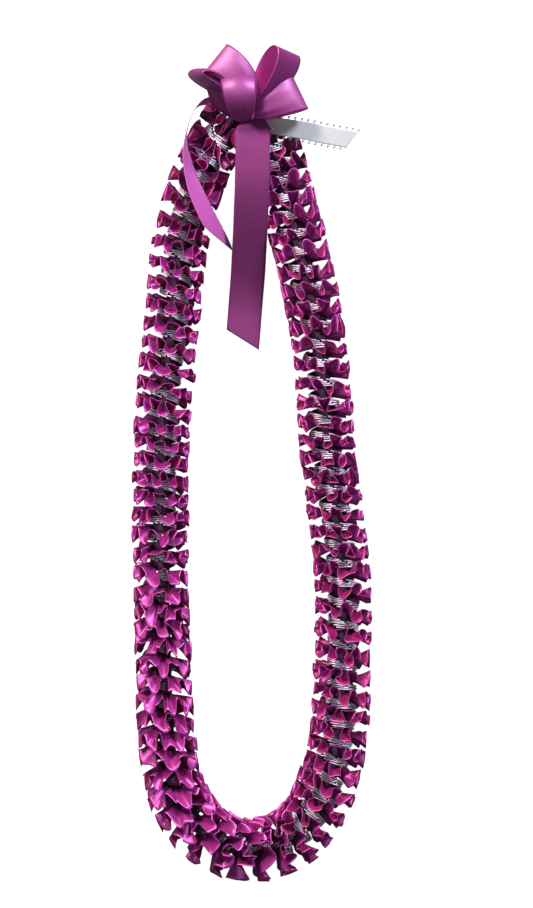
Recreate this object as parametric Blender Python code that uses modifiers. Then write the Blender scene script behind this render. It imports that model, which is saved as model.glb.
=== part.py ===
"""A ribbon lei: a satin ribbon gathered in a helical ruffle round a pleated silver ribbon, with a bow.

Run with: blender --background --python part.py. Units are metres, with +Z up.
The lei lies on a surface at z = 0. Its loop is in the XY plane, and the bow is at the +Y end.
"""

import math

import bmesh
import bpy
import numpy as np

MM = 0.001
LEVEL = 1e-6

# The width of the magenta satin ribbon, the wall that it has here, and the gap between neighbours.
SATIN_WIDTH = 22 * MM
CLOTH = 0.7 * MM
CLEARANCE = 0.35 * MM

# The origin is on the surface under the middle of the lei, this far from the zero of the points below.
ORIGIN = (1.0 * MM, 0.1 * MM, 0.0)

# The strand: its outer radius, the gathered edge's radius and the core inside it.
STRAND_RADIUS = 18.4 * MM
FULLER_AT_FOOT = 2.6 * MM
FOOT_SPREAD = 90 * MM
RADIUS_SPREAD = 0.07
GATHER_RADIUS = 5.0 * MM
CORE_RADIUS = 4.5 * MM
PLEAT_RADIUS = 8.6 * MM
STRAND_HEIGHT = 15.0 * MM
END_HEIGHT = 20.5 * MM
END_LIFT_OVER = 22 * MM
STRAND_POINTS = 4000
TANGENT_STEP = 0.5 * MM

# The ruffle: turns of the helix, frills in one turn, and how far a frill swings along the strand.
TURNS = 83
FRILLS = 7
FRILL_SWING = 3.3 * MM
SWING_SPREAD = 0.2
RUFFLE_WALL = 0.8 * MM
LEAST_FRILL = 0.8 * MM
NODE_TRIM = 0.045 / (2 * math.pi)
RUFFLE_NODES = 22
HELIX_HAND = -1
SEED = 11

# The core's sides, and its profile over one pitch: place, radius, and whether the next turn shares it.
CORE_SIDES = 6
CORE_START = 0.25
CORE_PROFILE = [(0.25, CORE_RADIUS, 1), (0.5, PLEAT_RADIUS, 0), (0.75, CORE_RADIUS, 0)]

# The strand's centreline in the XY plane, in mm, from the bow down the left side and up the right side.
CENTRELINE = [
    (-10.8, 220.7), (-23.5, 200.0), (-36.5, 170.0), (-44.6, 138.0), (-49.8, 88.0), (-54.9, 37.0),
    (-56.8, -23.0), (-56.8, -55.0), (-55.2, -118.0), (-52.4, -178.0), (-47.6, -204.0), (-36.8, -225.0),
    (-19.1, -239.7), (1.3, -244.8), (21.6, -240.3), (36.8, -227.0), (47.6, -207.0), (54.0, -185.0),
    (58.4, -131.0), (58.7, -71.0), (49.5, 8.6), (43.6, 80.0), (30.5, 142.0), (15.4, 197.0), (7.0, 220.7),
]

# Above this y the two ends of the strand lie side by side, each on its own side of a plane at this x.
PARTING_FROM_Y = 150 * MM
PARTING_X = -1.8 * MM

# Over the ends of the strand the bow presses the ruffle down to this height.
PRESSED_TOP = 26.0 * MM
PRESSED_FROM_Y = 203 * MM
PRESSED_OVER = 24 * MM
FREE_TOP = STRAND_HEIGHT + STRAND_RADIUS + 2 * MM

# The bow's knot: its centre, its half sizes, and its sides round and over.
KNOT = np.array([0.5, 221.5, 32.2]) * MM
KNOT_RADII = (7.0 * MM, 6.0 * MM, 5.8 * MM)
KNOT_SIDES = (12, 8)

# Each loop of the bow in mm from the knot: where it leaves the knot, the middle of its fold and its width there,
# how wide it opens, how soon it widens, how far its middle sways, how narrow its root is gathered, how far the
# middle of its fold stands out, and how much wider one side opens than the other.
BOW_LOOPS = {
    "upper_left": {"end": (-22.0, 34.5, 6.0), "width": (14.0, 17.6, -2.0), "opening": 13.0, "widens": 0.35,
                   "sway": (5.0, 2.5, 0.0)},
    "upper_right": {"end": (23.3, 38.0, 14.0), "width": (14.6, -5.1, -15.7), "opening": 14.0, "widens": 0.8},
    "lower_right": {"root": (1.0, 0.5, 0.0), "end": (30.2, 12.1, 9.0), "width": (10.2, -21.2, 1.0), "opening": 14.0,
                    "widens": 0.5, "sway": (-1.5, -1.0, 0.0), "gather": 0.2},
    "front": {"root": (-4.9, -5.0, 3.0), "end": (-3.2, 27.5, 12.0), "width": (22.8, 1.4, 0.0), "opening": 16.0,
              "widens": 0.36, "gather": 0.12, "dome": 2.6},
    "left": {"end": (-34.4, 25.2, 10.0), "width": (-9.6, 1.6, -19.7), "opening": 7.5, "widens": 0.6,
             "sway": (0.0, 4.0, 0.0), "flare": 0.4},
    "back_left": {"end": (-28.2, 16.5, 5.0), "width": (5.6, -20.6, -5.4), "opening": 7.0, "widens": 0.35},
}
LOOP_GATHER = 0.34
LOOP_STEPS = 13
LOOP_ROOT = 1.3 * MM
LOOP_CROWN = 0.06

# The greatest value of sin(angle) * sin(angle / 2), the belly of a teardrop.
TEARDROP_PEAK = 0.77

# The free ends. A row is the middle of the ribbon (x, y, z) and half its width (x, y, z), in mm.
LONG_TAIL = [
    ((2.2, 215.2, 30.4), (8.4, 0.0, 0.3)),
    ((1.9, 211.5, 32.2), (10.8, 0.0, 0.2)),
    ((1.7, 205.0, 34.0), (11.0, 0.2, 0.0)),
    ((1.7, 190.0, 35.6), (11.0, 0.2, 0.0)),
    ((1.4, 176.0, 34.4), (11.0, 0.3, 0.0)),
    ((0.8, 162.0, 29.6), (11.0, 0.3, 0.0)),
    ((0.2, 148.0, 22.6), (11.0, 0.4, 0.0)),
    ((-0.6, 134.0, 14.4), (11.0, 0.5, 0.0)),
    ((-1.4, 120.0, 7.0), (11.0, 0.6, 0.0)),
    ((-2.4, 108.0, 2.2), (11.0, 0.8, 0.0)),
    ((-3.2, 98.0, 0.0), (11.0, 0.9, 0.0)),
    ((-4.1, 86.0, 0.0), (11.0, 1.0, 0.0)),
    ((-5.3, 71.4, 0.0), (11.0, 1.1, 0.0)),
]
CURLED_TAIL = [
    ((-5.2, 223.2, 27.1), (0.2, 2.8, 0.0)),
    ((-13.0, 226.0, 27.1), (0.4, 3.0, 0.0)),
    ((-22.5, 229.6, 27.0), (1.2, 2.8, 0.2)),
    ((-30.6, 228.4, 27.2), (1.6, 2.0, 4.0)),
    ((-36.8, 220.0, 29.6), (0.6, 0.6, 10.2)),
    ((-40.0, 209.0, 33.5), (0.0, 0.0, 11.0)),
    ((-40.4, 197.0, 38.6), (-1.6, -0.4, 10.8)),
    ((-38.0, 184.5, 43.2), (-3.2, -1.2, 10.4)),
    ((-34.0, 172.0, 43.2), (-4.2, -1.9, 9.9)),
    ((-28.0, 158.6, 38.2), (-4.6, -2.4, 9.6)),
    ((-21.2, 145.4, 27.4), (-4.6, -3.0, 9.4)),
    ((-14.6, 131.8, 11.4), (-4.2, -3.2, 9.6)),
]
SILVER_TAIL = [
    ((5.6, 216.4, 27.4), (0.5, 2.6, 0.0)),
    ((13.0, 214.4, 27.6), (0.8, 4.8, 0.0)),
    ((24.0, 212.4, 28.2), (0.9, 5.5, 0.0)),
    ((36.0, 210.4, 28.6), (1.0, 5.6, 0.0)),
    ((48.0, 208.0, 27.8), (1.1, 5.6, 0.0)),
    ((58.0, 206.3, 26.0), (1.2, 5.6, 0.0)),
    ((67.4, 204.6, 23.6), (1.2, 5.5, 0.0)),
]

# The long tail lies flat on the surface below this y.
FLAT_FROM_Y = 100 * MM

# How far along each free end its two edges run, which slants the cut.
LONG_CUT = (0.905, 1.0)
CURLED_CUT = (1.0, 0.78)
SILVER_CUT = (0.915, 1.0)
TAIL_STEPS = 16
TAIL_SAMPLES = 400

MAGENTA = (0.255, 0.033, 0.165, 1.0)
SILVER = (0.60, 0.60, 0.62, 1.0)


def unit(vectors):
    """Vectors scaled to length 1, along the last axis."""
    return vectors / np.linalg.norm(vectors, axis=-1, keepdims=True)


def spline(points, count):
    """Points read evenly from a natural cubic spline through the given ones, by chord length."""
    points = np.asarray(points, dtype=float)
    chord = np.linalg.norm(np.diff(points, axis=0), axis=1)
    knots = np.concatenate([[0.0], np.cumsum(chord)])
    size = len(points)
    matrix = np.eye(size)
    right = np.zeros_like(points)
    for i in range(1, size - 1):
        matrix[i, i - 1] = chord[i - 1]
        matrix[i, i] = 2 * (chord[i - 1] + chord[i])
        matrix[i, i + 1] = chord[i]
        slope_on = (points[i + 1] - points[i]) / chord[i]
        slope_back = (points[i] - points[i - 1]) / chord[i - 1]
        right[i] = 6 * (slope_on - slope_back)
    bend = np.linalg.solve(matrix, right)
    at = np.linspace(0.0, knots[-1], count)
    low = np.clip(np.searchsorted(knots, at, side="right") - 1, 0, size - 2)
    step = chord[low][:, None]
    ahead = (knots[low + 1] - at)[:, None]
    back = (at - knots[low])[:, None]
    curved = (bend[low] * ahead**3 + bend[low + 1] * back**3) / (6 * step)
    start = (points[low] / step - bend[low] * step / 6) * ahead
    end = (points[low + 1] / step - bend[low + 1] * step / 6) * back
    return curved + start + end


class Strand:
    """The strand's centreline by arc length, with its tangent and the level normal beside it."""

    def __init__(self):
        flat = spline(CENTRELINE, STRAND_POINTS) * MM
        height = np.full(len(flat), STRAND_HEIGHT)
        self.points = np.column_stack([flat, height])
        gaps = np.linalg.norm(np.diff(self.points, axis=0), axis=1)
        self.along = np.concatenate([[0.0], np.cumsum(gaps)])
        self.length = self.along[-1]
        from_end = np.minimum(self.along, self.length - self.along)
        lift = np.exp(-((from_end / END_LIFT_OVER) ** 2))
        self.points[:, 2] += (END_HEIGHT - STRAND_HEIGHT) * lift
        self.pitch = self.length / TURNS

    def radius(self, turns):
        """The ruffle's outer radius at turns along the strand, fuller round the foot of the loop."""
        from_foot = (turns - TURNS / 2) * self.pitch / FOOT_SPREAD
        return STRAND_RADIUS + FULLER_AT_FOOT * np.exp(-(from_foot**2))

    def read(self, distance):
        """Points of the centreline at distances along it."""
        return np.column_stack([np.interp(distance, self.along, axis) for axis in self.points.T])

    def at(self, distance):
        """Centre, tangent, level normal and upward normal at distances along the strand."""
        centre = self.read(distance)
        tangent = unit(self.read(distance + TANGENT_STEP) - self.read(distance - TANGENT_STEP))
        side = unit(np.cross([0.0, 0.0, 1.0], tangent))
        return centre, tangent, side, np.cross(tangent, side)


def pressed_top(y):
    """The greatest height that the ruffle may have: low under the bow and free elsewhere."""
    share = np.clip((y - PRESSED_FROM_Y + PRESSED_OVER) / PRESSED_OVER, 0.0, 1.0)
    return FREE_TOP + (PRESSED_TOP - FREE_TOP) * share


def reach(start, outward, wanted):
    """How far each ray may go: short of the floor, the bow above and the other end of the strand."""
    far = np.full(len(start), wanted, dtype=float)
    down = outward[:, 2] < -LEVEL
    far[down] = np.minimum(far[down], start[down, 2] / -outward[down, 2])
    up = outward[:, 2] > LEVEL
    room = pressed_top(start[:, 1]) - start[:, 2]
    far[up] = np.minimum(far[up], room[up] / outward[up, 2])
    paired = start[:, 1] > PARTING_FROM_Y
    side = np.sign(start[:, 0] - PARTING_X)
    towards = paired & (outward[:, 0] * side < -LEVEL)
    gap = np.abs(start[:, 0] - PARTING_X) - CLEARANCE
    far[towards] = np.minimum(far[towards], gap[towards] / np.abs(outward[towards, 0]))
    return np.maximum(far, np.minimum(wanted, GATHER_RADIUS + LEAST_FRILL))


def material(name, colour, roughness):
    """A plain satin: a Principled surface of one colour."""
    made = bpy.data.materials.new(name)
    made.use_nodes = True
    shader = made.node_tree.nodes["Principled BSDF"]
    shader.inputs["Base Color"].default_value = colour
    shader.inputs["Roughness"].default_value = roughness
    made.diffuse_color = colour
    return made


def new_object(name, mesh, home, finish):
    """A mesh as a named object in its collection, with its material."""
    if finish:
        mesh.materials.append(finish)
    made = bpy.data.objects.new(name, mesh)
    home.objects.link(made)
    return made


def band_mesh(name, rows):
    """An open band through rows of points, in triangles, so that both faces of its wall are split alike."""
    count, across = rows.shape[:2]
    index = np.arange(count * across).reshape(count, across)
    a = index[:-1, :-1].ravel()
    b = index[1:, :-1].ravel()
    c = index[1:, 1:].ravel()
    d = index[:-1, 1:].ravel()
    faces = np.concatenate([np.column_stack([a, b, c]), np.column_stack([a, c, d])])
    mesh = bpy.data.meshes.new(name)
    mesh.from_pydata(rows.reshape(-1, 3).tolist(), [], faces.tolist())
    return mesh


def thicken(obj, wall, offset):
    """A Solidify modifier that gives a band its wall."""
    solid = obj.modifiers.new("wall", "SOLIDIFY")
    solid.thickness = wall
    solid.offset = offset
    solid.use_even_offset = False


def settle(obj):
    """Applies the modifiers and lays whatever dips under the floor flat on it."""
    graph = bpy.context.evaluated_depsgraph_get()
    made = bpy.data.meshes.new_from_object(obj.evaluated_get(graph))
    old = obj.data
    obj.modifiers.clear()
    obj.data = made
    bpy.data.meshes.remove(old)
    for vertex in made.vertices:
        vertex.co.z = max(vertex.co.z, 0.0)


def ruffle(number, strand, home, finish):
    """One stretch of the gathered ribbon: a helix whose outer edge swings to and fro along the strand."""
    turns = TURNS / RUFFLE_NODES
    steps = int(round(turns * FRILLS * 2))
    share = np.linspace(number * turns + NODE_TRIM, (number + 1) * turns - NODE_TRIM, steps + 1)
    order = number * steps + np.arange(steps + 1)
    noise = np.random.default_rng(SEED).uniform(-1.0, 1.0, (2, RUFFLE_NODES * steps + 1))[:, order]
    centre, tangent, side, up = strand.at(share * strand.pitch)
    turn = HELIX_HAND * 2 * math.pi * share[:, None]
    outward = np.cos(turn) * side + np.sin(turn) * up
    swing = np.where(order % 2 == 0, 1.0, -1.0) * FRILL_SWING * (1 + SWING_SPREAD * noise[0])
    start = centre + swing[:, None] * tangent
    radius = reach(start, outward, strand.radius(share) * (1 - RADIUS_SPREAD * (1 + noise[1]) / 2))
    inner = centre + GATHER_RADIUS * outward
    outer = start + radius[:, None] * outward
    rows = np.stack([inner, outer], axis=1)
    obj = new_object(f"ruffle_{number + 1:02d}", band_mesh("ruffle", rows), home, finish)
    thicken(obj, RUFFLE_WALL, 0.0)
    settle(obj)
    return obj


def pleated_core(strand, home, finish):
    """The silver core: a tube with a helical ridge of pleats that runs between the turns of the ruffle."""
    rows = (TURNS - 1) * CORE_SIDES
    columns = []
    for offset, radius, extra in CORE_PROFILE:
        share = np.arange(rows + 1 + extra * CORE_SIDES) / CORE_SIDES - CORE_START
        turn = HELIX_HAND * 2 * math.pi * share[:, None]
        centre, _, side, up = strand.at((share + offset) * strand.pitch)
        outward = np.cos(turn) * side + np.sin(turn) * up
        columns.append(centre + reach(centre, outward, radius)[:, None] * outward)
    base, ridge, foot = columns
    caps = strand.at(np.array([0.5, TURNS - 0.5]) * strand.pitch)[0]
    points = np.concatenate([base, ridge, foot, caps])
    a = np.arange(rows)
    first_ridge = len(base)
    first_foot = first_ridge + len(ridge)
    cap = first_foot + len(foot)
    edges = [(a, a + first_ridge), (a + first_ridge, a + first_foot), (a + first_foot, a + CORE_SIDES)]
    quads = np.concatenate([np.column_stack([low, low + 1, high + 1, high]) for low, high in edges])
    lead = list(range(CORE_SIDES + 1)) + [first_foot, first_ridge, 0]
    trail = list(range(rows, rows + CORE_SIDES + 1)) + [first_foot + rows, first_ridge + rows, rows]
    fans = [[cap, p, q] for p, q in zip(lead, lead[1:])]
    fans += [[cap + 1, p, q] for p, q in zip(trail, trail[1:])]
    mesh = bpy.data.meshes.new("silver_core")
    mesh.from_pydata(points.tolist(), [], quads.tolist() + fans)
    shape = bmesh.new()
    shape.from_mesh(mesh)
    bmesh.ops.recalc_face_normals(shape, faces=shape.faces)
    shape.to_mesh(mesh)
    shape.free()
    return new_object("silver_core", mesh, home, finish)


def clear_scene():
    """Removes whatever objects and collections the scene starts with."""
    for obj in list(bpy.data.objects):
        bpy.data.objects.remove(obj)


def bow_loop(
    name, home, end, width, opening, widens, root=(0, 0, 0), sway=(0, 0, 0), gather=LOOP_GATHER, dome=0.0, flare=0.0
):
    """One loop of the bow: a teardrop of ribbon from the knot to its fold and back, narrow at its root."""
    axis = np.array(end) * MM
    length = np.linalg.norm(axis)
    ahead = axis / length
    width = np.array(width) * MM
    square = unit(width - (width @ ahead) * ahead)
    normal = unit(np.cross(ahead, width))
    angle = np.linspace(0.0, 2 * math.pi, LOOP_STEPS)[:, None]
    share = np.array([[-1.0, 0.0, 1.0]])
    out = (1 - np.cos(angle)) / 2
    belly = np.sin(angle) * np.sin(angle / 2) / TEARDROP_PEAK
    height = LOOP_ROOT * np.cos(angle / 2) + opening * MM / 2 * belly * (1 + flare * share)
    crown = LOOP_CROWN * SATIN_WIDTH * np.sin(angle) * (1 - share**2)
    open_share = gather + (1 - gather) * np.abs(np.sin(angle / 2)) ** (2 * widens)
    aim = unit((1 - out)[..., None] * square + out[..., None] * unit(width))
    across = open_share[..., None] * aim * np.linalg.norm(width) / 2
    rows = KNOT + np.array(root) * MM + ((length - dome * MM * share**2) * out)[..., None] * ahead
    rows = rows + (height + crown)[..., None] * normal
    rows = rows + 4 * (out * (1 - out))[..., None] * np.array(sway) * MM
    rows = rows + share[..., None] * across
    obj = new_object(name, band_mesh(name, rows), home, None)
    thicken(obj, CLOTH, 0.0)
    return obj


def fill_pockets(obj):
    """Keeps the largest shell of a joined mesh, which fills whatever pocket the joining sealed."""
    shape = bmesh.new()
    shape.from_mesh(obj.data)
    left = set(shape.faces)
    shells = []
    while left:
        shell = {left.pop()}
        front = list(shell)
        while front:
            face = front.pop()
            near = {other for edge in face.edges for other in edge.link_faces} & left
            left -= near
            shell |= near
            front += near
        shells.append(shell)
    shells.sort(key=len)
    for shell in shells[:-1]:
        bmesh.ops.delete(shape, geom=list(shell), context="FACES")
    shape.to_mesh(obj.data)
    shape.free()


def bow(home, finish):
    """The bow: a rounded knot and its loops, joined as the one ribbon that they are tied from."""
    loops = bpy.data.collections.new("bow_loops")
    bpy.context.scene.collection.children.link(loops)
    for name, shape in BOW_LOOPS.items():
        bow_loop(name, loops, **shape)
    shape = bmesh.new()
    bmesh.ops.create_uvsphere(shape, u_segments=KNOT_SIDES[0], v_segments=KNOT_SIDES[1], radius=1.0)
    bmesh.ops.scale(shape, vec=KNOT_RADII, verts=shape.verts)
    bmesh.ops.translate(shape, vec=KNOT, verts=shape.verts)
    mesh = bpy.data.meshes.new("bow")
    shape.to_mesh(mesh)
    shape.free()
    obj = new_object("bow", mesh, home, finish)
    join = obj.modifiers.new("join", "BOOLEAN")
    join.operation = "UNION"
    join.operand_type = "COLLECTION"
    join.collection = loops
    join.solver = "EXACT"
    settle(obj)
    fill_pockets(obj)
    for part in list(loops.objects):
        bpy.data.objects.remove(part)
    bpy.data.collections.remove(loops)
    return obj


def tail(name, rows, cut, lay_flat, home, finish):
    """A free end of ribbon through its rows. Its edges stop at the shares given, which slants its cut."""
    table = np.array([middle + half for middle, half in rows])
    fine = spline(table, TAIL_SAMPLES) * MM
    edges = []
    for side, share in zip((-1.0, 1.0), cut):
        edge = fine[:, :3] + side * fine[:, 3:]
        at = np.linspace(0.0, share * (len(fine) - 1), TAIL_STEPS)
        edges.append(np.column_stack([np.interp(at, np.arange(len(fine)), edge[:, k]) for k in range(3)]))
    band = np.stack(edges, axis=1)
    if lay_flat:
        band[:, :, 2] = np.where(band[:, :, 1] < FLAT_FROM_Y, 0.0, np.maximum(band[:, :, 2], 0.0))
    obj = new_object(name, band_mesh(name, band), home, finish)
    thicken(obj, CLOTH, 1.0 if lay_flat else 0.0)
    settle(obj)
    return obj


def place(home):
    """Parents the pieces to an empty that sets the whole lei over its origin."""
    frame = bpy.data.objects.new("lei_frame", None)
    home.objects.link(frame)
    frame.location = [-value for value in ORIGIN]
    for obj in home.objects:
        if obj != frame:
            obj.parent = frame


def main():
    clear_scene()
    home = bpy.data.collections.new("ribbon_lei")
    bpy.context.scene.collection.children.link(home)
    magenta = material("magenta_satin", MAGENTA, 0.38)
    silver = material("silver_satin", SILVER, 0.35)
    strand = Strand()
    for number in range(RUFFLE_NODES):
        ruffle(number, strand, home, magenta)
    pleated_core(strand, home, silver)
    bow(home, magenta)
    tail("tail_long", LONG_TAIL, LONG_CUT, True, home, magenta)
    tail("tail_curled", CURLED_TAIL, CURLED_CUT, False, home, magenta)
    tail("tail_silver", SILVER_TAIL, SILVER_CUT, False, home, silver)
    place(home)


main()
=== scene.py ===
"""Satin ribbon lei: ruffled magenta satin round pleated silver ribbon, tied off with a bow.

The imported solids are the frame. Each ribbon here is a fine sheet that replaces plain solids in their place.
All surfaces are worked out with numpy, in metres, in the frame's own axes.
"""

import bmesh
import bpy
import numpy as np
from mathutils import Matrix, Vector


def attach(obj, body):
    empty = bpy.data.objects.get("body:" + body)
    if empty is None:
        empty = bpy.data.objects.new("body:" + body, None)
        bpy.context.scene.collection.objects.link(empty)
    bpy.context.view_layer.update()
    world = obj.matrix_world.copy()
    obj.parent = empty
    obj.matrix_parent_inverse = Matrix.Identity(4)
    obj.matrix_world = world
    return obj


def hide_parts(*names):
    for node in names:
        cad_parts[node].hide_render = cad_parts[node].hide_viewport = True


bl_info = {
    "name": "Satin Ribbon Lei",
    "version": (1, 0, 0),
    "blender": (4, 5, 0),
    "location": "View3D > Sidebar > Lei",
    "description": "Ruffles, pleats, bow and free ends of a satin ribbon lei, on its packed solids",
    "category": "Add Mesh",
}

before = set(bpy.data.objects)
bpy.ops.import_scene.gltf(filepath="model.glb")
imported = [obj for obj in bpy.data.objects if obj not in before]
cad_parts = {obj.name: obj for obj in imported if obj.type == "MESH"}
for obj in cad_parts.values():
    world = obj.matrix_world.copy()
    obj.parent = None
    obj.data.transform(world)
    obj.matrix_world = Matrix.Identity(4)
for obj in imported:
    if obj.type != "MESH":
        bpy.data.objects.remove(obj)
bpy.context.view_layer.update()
MM = 0.001

# Where the frame's origin lies among the points below, which are those of the solids.
ORIGIN = np.array([1.0, 0.1, 0.0]) * MM

# The strand's centreline in mm, from the bow down the left side and up the right side.
CENTRELINE = [
    (-10.8, 220.7), (-23.5, 200.0), (-36.5, 170.0), (-44.6, 138.0), (-49.8, 88.0), (-54.9, 37.0),
    (-56.8, -23.0), (-56.8, -55.0), (-55.2, -118.0), (-52.4, -178.0), (-47.6, -204.0), (-36.8, -225.0),
    (-19.1, -239.7), (1.3, -244.8), (21.6, -240.3), (36.8, -227.0), (47.6, -207.0), (54.0, -185.0),
    (58.4, -131.0), (58.7, -71.0), (49.5, 8.6), (43.6, 80.0), (30.5, 142.0), (15.4, 197.0), (7.0, 220.7),
]
STRAND_POINTS = 4000
TURNS = 83
HELIX_HAND = -1
TANGENT_STEP = 0.5 * MM

# The centreline's height, and how it lifts at the strand's two ends.
STRAND_HEIGHT = 15.0 * MM
END_HEIGHT = 20.5 * MM
END_LIFT_OVER = 22 * MM

# What the ruffle's radius gains at the foot of the loop, and how far along the strand that fades.
FULLER_AT_FOOT = 2.6 * MM
FOOT_SPREAD = 90 * MM

# Where the strand's two ends lie side by side, and where the bow presses them down.
PARTING_FROM_Y = 150 * MM
PARTING_X = -1.8 * MM
FREE_TOP = 36.0 * MM
PRESSED_TOP = 26.0 * MM
PRESSED_FROM_Y = 203 * MM
PRESSED_OVER = 24 * MM
CLEARANCE = 0.3 * MM

# The smallest slope and gap that count.
LEAST_SLOPE = 1e-6
MERGE_WITHIN = 0.001 * MM

# The ruffle's pieces, one for each of its solids, its grid, and the ribbon gathered into one turn.
RUFFLE_PIECES = 22
PIECE_SAMPLES = 815
RUFFLE_ROWS = 10
RIBBON_PER_TURN = 80 * MM

# Where the gathered edge runs: turns from the bow, and mm along the strand. Its turns crowd and spread.
ROOTS = [
    (0, 0), (1.5, 22), (5.5, 75), (10.5, 138), (15.5, 202), (20.5, 257), (24.5, 304), (27.5, 334),
    (33.5, 406), (38.5, 467), (42.5, 516), (48.5, 590), (52.5, 637), (57.5, 703), (60.5, 738), (62.5, 762),
    (66.5, 806), (70.5, 855), (75.5, 915), (80.5, 973), (83, 1000),
]

# The frills by turns from the bow: frills in a turn, how far they swing along the strand in mm, how far
# the rim leans that way in mm, how much their troughs pinch, how deep the creases in them are in mm, and
# how far a turn is skewed in mm.
FRILLS = [
    (0, 8.4, 13.0, -2.0, 0.1, 0.8, 0.0),
    (3.5, 8.4, 12.0, -1.0, 0.1, 0.8, 0.0),
    (6, 9.2, 8.6, 2.0, 0.1, 0.9, 1.0),
    (18, 9.4, 8.2, 1.2, 0.1, 0.9, -0.5),
    (22, 9.0, 8.4, 3.5, 0.2, 1.0, -2.0),
    (27, 7.4, 9.0, 8.6, 0.2, 1.3, -1.2),
    (37, 7.4, 9.0, 9.0, 0.2, 1.3, 0.0),
    (41, 7.8, 8.8, 6.0, 0.3, 1.2, 0.0),
    (45, 9.2, 8.6, -1.0, -0.1, 1.0, 0.0),
    (52, 9.2, 8.8, -1.0, -0.1, 1.0, 0.0),
    (58, 9.2, 8.6, 0.5, 0.0, 1.0, 0.0),
    (64, 9.0, 8.4, 1.5, 0.2, 1.0, -0.5),
    (70, 8.6, 8.8, 3.0, 0.2, 1.1, 0.0),
    (76, 8.6, 9.4, 4.0, 0.1, 1.2, -2.0),
    (83, 8.6, 9.6, 3.0, 0.1, 1.2, -1.0),
]

# A frill's wave: where the first one starts, and its share of a zigzag, whose corners are rounded a little.
FIRST_FRILL = 0.5
FOLD_CRISPNESS = 0.1
FOLD_CORNER = 0.97

# The powers by which a frill's swing, lean and reach grow from the gathered edge to the rim.
SWING_GROWTH = 1.3
LEAN_GROWTH = 1.1
REACH_GROWTH = 1.1

# Finer waves: creases in a frill, flutters in a frill, and how deep a flutter is for the rim's lean.
CREASE_RATE = 2.6
FLUTTER_RATE = 2.5
FLUTTER_DEPTH = 0.16

# The rim falls short of its radius, and again at the tops of its frills. A frill that leans curls less,
# and one that is pressed keeps its least height.
RIM_SHORT = 0.54 * MM
RIM_DIP = 0.4 * MM
FULL_LEAN = 8 * MM
LEAN_UNCURLS = 0.2
LEAST_FRILL = 1 * MM

# What differs from one frill or pleat to the next: by how much, how many times in each, and a noise seed.
WANDER = {
    "frill_place": (0.3, 0.9, 3),
    "swing": (0.3, 2.0, 5),
    "slow_swing": (0.2, 0.4, 6),
    "lean": (1.2 * MM, 0.6, 7),
    "pinch": (0.3, 0.5, 8),
    "curl": (0.8, 1.0, 9),
    "crease_place": (3.0, 1.0, 11),
    "flutter_place": (3.0, 0.7, 12),
    "rim": (0.9 * MM, 1.7, 13),
    "crease": (0.5, 1.3, 14),
    "tilt": (2.0 * MM, 0.8, 15),
    "pleat_height": (0.3 * MM, 1.0, 17),
    "pleat_angle": (0.04, 1.0, 19),
    "pleat_slope": (0.05, 1.0, 23),
}

# The gathered edge: a rope in the middle of the strand, with its rings in a turn, its sides, and the turns
# that it leaves free and narrows over at each end. Two sets of folds cross on it: a set's share of the
# fold's height, its folds round the rope, and its twist in a turn.
EDGE_RINGS = 14
EDGE_SIDES = 36
EDGE_INSET = 0.2
EDGE_TAPER = 0.25
EDGE_STANDS_OUT = 0.25 * MM
EDGE_FOLD = 0.35 * MM
EDGE_FOLDS = [(1.0, 9, 1.5), (0.5, 14, -2.3)]

# The silver pleats, in stacks of parallel folds: how far a stack is shifted round the strand, in stacks,
# and where it stands from one turn of the ruffle to the next.
PLEAT_PIECES = 4
PLEAT_SAMPLES = 12
PLEAT_ACROSS = 7
PLEATS_FROM = 0.5
PLEATS_TO = TURNS - 1.0
STACKS_PER_TURN = 4
FOLDS_PER_STACK = 5
STACK_SHIFT = 0.22
STACK_PLACE = 0.4

# A pleat's form: its depth, the gap and the step round the strand from one to the next, its slope and how
# that fans out in a stack, how far its sides droop, and its cloth's share of the satin's thickness. A
# pleat under a leaning frill is kept low.
PLEAT_DEPTH = 1.7 * MM
PLEAT_GAP = 1.5 * MM
PLEAT_STAGGER = 2.2 * MM
PLEAT_SLOPE = 0.12
PLEAT_FAN = 0.05
PLEAT_DROOP = 1.2 * MM
PLEAT_CLOTH = 0.8
LEAST_PLEAT = 4 * MM
COVERED_FROM = 4.0 * MM
COVERED_LOWERS = 0.9

# The bow's knot, with the folds round it: their number, depth and sway.
KNOT = np.array([0.5, 221.5, 32.2]) * MM - ORIGIN
KNOT_RADII = np.array([5.0, 4.0, 4.0]) * MM
KNOT_SIDES = 64
KNOT_RINGS = 33
KNOT_FOLDS = 7
KNOT_FOLD = 0.05
KNOT_SWAY = 0.6

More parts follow.
